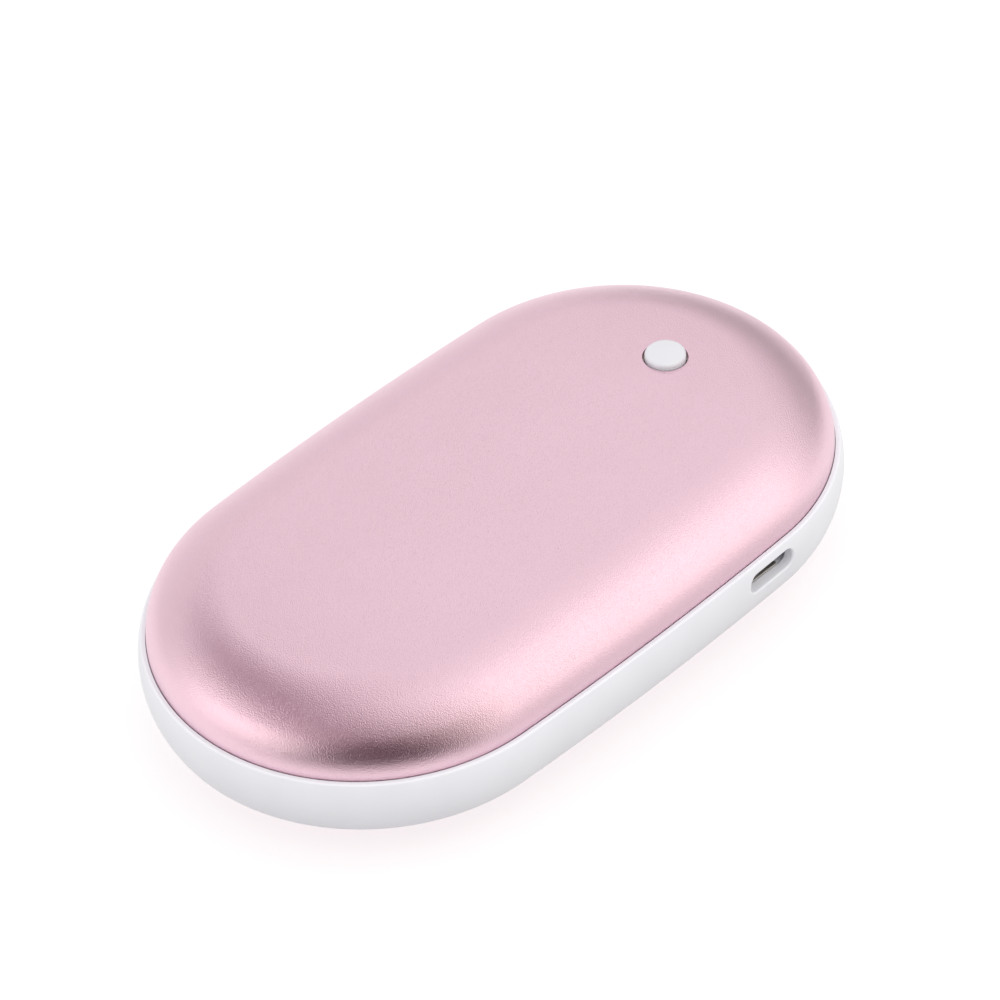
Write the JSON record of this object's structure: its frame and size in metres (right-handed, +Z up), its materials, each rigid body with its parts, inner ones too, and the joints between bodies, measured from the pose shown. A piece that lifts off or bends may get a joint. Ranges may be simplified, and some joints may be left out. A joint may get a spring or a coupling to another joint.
{
  "type": "rechargeable hand warmer",
  "caption": "Long-oval rechargeable hand warmer with domed aluminium faces bonded into a white plastic ring, a push button on top and a charging port in the side.",
  "frame": {"origin": "on the surface it rests on, under the middle of the case", "axes": "+X along the case towards the button, +Y away from the charging port, +Z up"},
  "size_m": [0.1, 0.057, 0.024],
  "materials": {
    "pink_aluminium": "bead-blasted and anodised rose pink, satin",
    "white_abs": "moulded white plastic, satin",
    "button_white": "moulded white translucent plastic, satin",
    "plated_steel": "nickel-plated pressed steel",
    "screw_steel": "zinc-plated steel",
    "adhesive": "cured clear adhesive",
    "black_plastic": "moulded black plastic",
    "grey_plastic": "moulded grey plastic",
    "cell_can": null,
    "cell_wrap": "shrink sleeve",
    "paper_washer": "insulating paper",
    "green_board": "glass-filled board under green solder mask",
    "gold_contacts": "gold-plated",
    "copper_foil": "etched foil",
    "amber_film": "amber film",
    "grey_foam": "closed-cell foam",
    "solder": "bright solder",
    "red_lead": "silicone insulation, red",
    "black_lead": "silicone insulation, black",
    "white_lead": "silicone insulation, white",
    "led_resin": "clear resin",
    "capacitor_tan": "fired ceramic"
  },
  "bodies": {
    "case": {"top_cover": "pink_aluminium", "bottom_cover": "pink_aluminium", "mid_frame": "white_abs", "top_cover_bond": "adhesive", "bottom_cover_bond": "adhesive", "button_sleeve": "white_abs", "button_sleeve_tape": "adhesive", "cell_carrier": "grey_plastic", "carrier_screws": "screw_steel", "port_side_cell": "cell_can", "far_side_cell": "cell_can", "cell_sleeves": "cell_wrap", "cell_end_washers": "paper_washer", "positive_strip": "plated_steel", "negative_strip": "plated_steel", "positive_lead": "red_lead", "negative_lead": "black_lead", "circuit_board": "green_board", "board_screws": "screw_steel", "socket_shell": "plated_steel", "socket_tongue": "black_plastic", "socket_contacts": "gold_contacts", "switch_base": "black_plastic", "switch_plate": "plated_steel", "snap_dome": "plated_steel", "switch_terminals": "plated_steel", "status_leds": "led_resin", "control_chip": "black_plastic", "charge_chip": "black_plastic", "chip_leads": "solder", "heater_transistors": "black_plastic", "chip_capacitors": "capacitor_tan", "chip_resistors": "black_plastic", "solder_pads": "solder", "upper_heater_film": "amber_film", "upper_heater_track": "copper_foil", "lower_heater_film": "amber_film", "lower_heater_track": "copper_foil", "upper_heater_leads": "white_lead", "lower_heater_leads": "white_lead", "thermistor": "black_plastic", "thermistor_leads": "plated_steel", "upper_foam_pad": "grey_foam", "lower_foam_pad": "grey_foam"},
    "button": {"button_cap": "button_white", "switch_plunger": "black_plastic"}
  },
  "joints": [
    {"name": "button_press", "type": "slide", "parent": "case", "child": "button", "axis": [0, 0, -1], "range_m": [0, 0.0004], "stiffness_N_per_m": 5000, "deforming": ["snap_dome"]}
  ]
}
